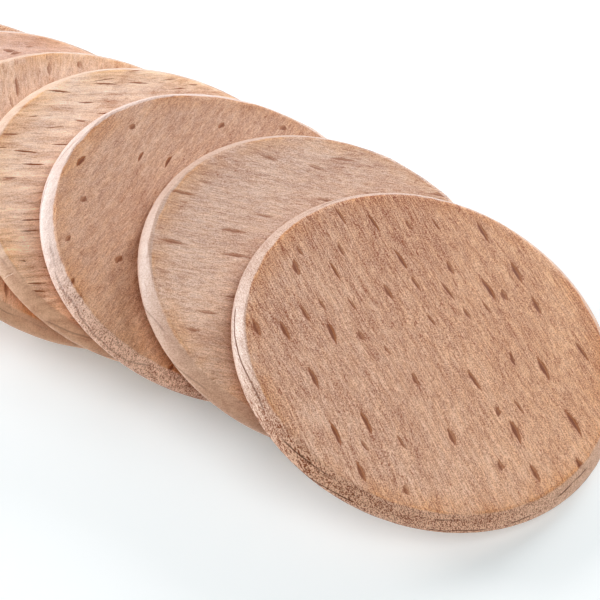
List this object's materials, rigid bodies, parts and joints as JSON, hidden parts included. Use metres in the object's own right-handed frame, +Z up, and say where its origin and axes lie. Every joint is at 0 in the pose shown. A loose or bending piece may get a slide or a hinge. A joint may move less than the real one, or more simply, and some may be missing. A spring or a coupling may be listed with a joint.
{
  "type": "wooden game disc set",
  "caption": "Row of plain wooden game discs with rounded rims, laid like fallen dominoes, each leaning on the next; every disc lifts off.",
  "frame": {"origin": "on the table under the middle of the row, halfway along it and across it", "axes": "+Z up from the table, +X along the row from the flat bottom disc towards the top disc, +Y across the row"},
  "size_m": [0.1336, 0.0546, 0.0208],
  "materials": {
    "beech": "sanded, untreated"
  },
  "bodies": {
    "bottom_disc": {"bottom_disc": "beech"},
    "seventh_disc": {"seventh_disc": "beech"},
    "sixth_disc": {"sixth_disc": "beech"},
    "fifth_disc": {"fifth_disc": "beech"},
    "fourth_disc": {"fourth_disc": "beech"},
    "third_disc": {"third_disc": "beech"},
    "second_disc": {"second_disc": "beech"},
    "top_disc": {"top_disc": "beech"}
  },
  "joints": [
    {"name": "lift_seventh_disc", "type": "slide", "parent": "bottom_disc", "child": "seventh_disc", "axis": [0, 0, 1], "range_m": [0, 0.025]},
    {"name": "lift_sixth_disc", "type": "slide", "parent": "seventh_disc", "child": "sixth_disc", "axis": [0, 0, 1], "range_m": [0, 0.025]},
    {"name": "lift_fifth_disc", "type": "slide", "parent": "sixth_disc", "child": "fifth_disc", "axis": [0, 0, 1], "range_m": [0, 0.025]},
    {"name": "lift_fourth_disc", "type": "slide", "parent": "fifth_disc", "child": "fourth_disc", "axis": [0, 0, 1], "range_m": [0, 0.025]},
    {"name": "lift_third_disc", "type": "slide", "parent": "fourth_disc", "child": "third_disc", "axis": [0, 0, 1], "range_m": [0, 0.025]},
    {"name": "lift_second_disc", "type": "slide", "parent": "third_disc", "child": "second_disc", "axis": [0, 0, 1], "range_m": [0, 0.025]},
    {"name": "lift_top_disc", "type": "slide", "parent": "second_disc", "child": "top_disc", "axis": [0, 0, 1], "range_m": [0, 0.025]}
  ]
}
